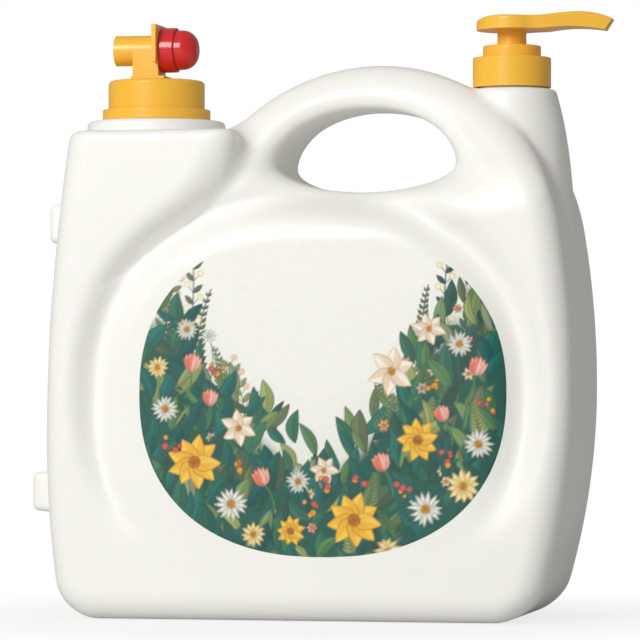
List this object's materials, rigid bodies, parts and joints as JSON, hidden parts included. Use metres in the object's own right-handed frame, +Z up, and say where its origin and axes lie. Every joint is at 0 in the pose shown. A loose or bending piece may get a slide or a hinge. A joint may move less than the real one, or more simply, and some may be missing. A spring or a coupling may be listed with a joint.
{
  "type": "laundry detergent bottle",
  "caption": "Large white detergent jug with a moulded loop handle, a yellow press tap with a red button, a yellow lotion pump and a round front label.",
  "frame": {"origin": "centre of the flat base, on the body's middle plane", "axes": "+Z up, +X to the right towards the pump, the label faces -Y"},
  "size_m": [0.3104, 0.1162, 0.3228],
  "materials": {
    "white_hdpe": "satin blow-moulded polyethylene",
    "label_film": null,
    "yellow_pp": "satin moulded polypropylene",
    "red_pp": "gloss moulded polypropylene",
    "natural_pp": "natural moulded polypropylene",
    "seal_rubber": "moulded rubber",
    "spring_steel": "drawn stainless wire",
    "foam_washer": "foamed polyethylene washer",
    "ball_glass": "polished ball"
  },
  "bodies": {
    "bottle": {"bottle": "white_hdpe", "front_label": "label_film"},
    "tap": {"tap_body": "yellow_pp", "tap_gasket": "foam_washer", "button_collar": "red_pp", "stem_o_ring": "seal_rubber", "button_spring": "spring_steel"},
    "tap_cap": {"tap_cap": "yellow_pp"},
    "button": {"push_button": "red_pp", "valve_stem": "natural_pp", "valve_seal": "seal_rubber"},
    "pump": {"pump_housing": "natural_pp", "pump_gasket": "foam_washer", "lock_ring": "yellow_pp", "inlet_ball": "ball_glass", "ball_retainer": "natural_pp", "dip_tube": "natural_pp", "pump_spring": "spring_steel"},
    "pump_collar": {"pump_collar": "yellow_pp"},
    "piston": {"pump_piston": "natural_pp"},
    "head": {"pump_head": "yellow_pp", "pump_stem": "natural_pp", "stem_plug": "natural_pp"}
  },
  "joints": [
    {"name": "tap_lift", "type": "slide", "parent": "bottle", "child": "tap", "axis": [0, 0, 1], "range_m": [0, 0.00634]},
    {"name": "tap_cap_turn", "type": "hinge", "parent": "tap", "child": "tap_cap", "pos_m": [-0.0926, 0, 0.28], "axis": [0, 0, 1], "range_deg": [0, 540]},
    {"name": "button_press", "type": "slide", "parent": "tap", "child": "button", "axis": [-1, 0, 0], "range_m": [0, 0.0045], "stiffness_N_per_m": 600, "springref_m": -0.002, "deforming": ["button_spring"]},
    {"name": "pump_lift", "type": "slide", "parent": "bottle", "child": "pump", "axis": [0, 0, 1], "range_m": [0, 0.00634]},
    {"name": "pump_collar_turn", "type": "hinge", "parent": "pump", "child": "pump_collar", "pos_m": [0.1033, 0, 0.29], "axis": [0, 0, 1], "range_deg": [0, 540]},
    {"name": "pump_stroke", "type": "slide", "parent": "pump", "child": "piston", "axis": [0, 0, 1], "range_m": [0, 0.018], "deforming": ["pump_spring"]},
    {"name": "head_turn", "type": "hinge", "parent": "piston", "child": "head", "pos_m": [0.1033, 0, 0.32], "axis": [0, 0, 1], "continuous": true}
  ],
  "couplings": [
    {"joint": "tap_cap_turn", "follows": "tap_lift", "rad_per_m": 1485.4},
    {"joint": "pump_collar_turn", "follows": "pump_lift", "rad_per_m": 1485.4}
  ]
}
